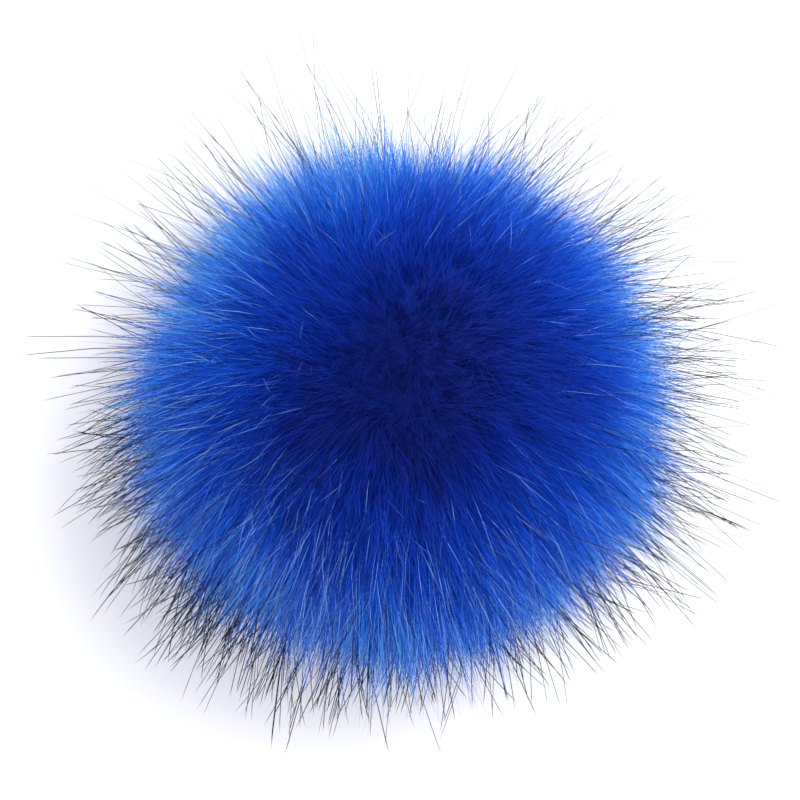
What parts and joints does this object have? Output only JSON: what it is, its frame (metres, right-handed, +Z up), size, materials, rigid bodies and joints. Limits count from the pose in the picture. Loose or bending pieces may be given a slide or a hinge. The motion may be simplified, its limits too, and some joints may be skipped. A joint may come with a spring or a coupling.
{
  "type": "fur pom pom",
  "caption": "Long-pile faux fur pom pom, a fluffy ball gathered from one piece of fur cloth, lying with the hairs under it pressed level.",
  "frame": {"origin": "on the table, at the centre of the outline seen from above", "axes": "+Z up from the gathered underside to the crown; +X and +Y across, as right and up in the picture, which looks straight down"},
  "size_m": [0.15, 0.15, 0.1119],
  "materials": {
    "fur": "long soft pile, royal blue with black tips"
  },
  "bodies": {
    "root": {"pom_pom": "fur"}
  },
  "joints": []
}
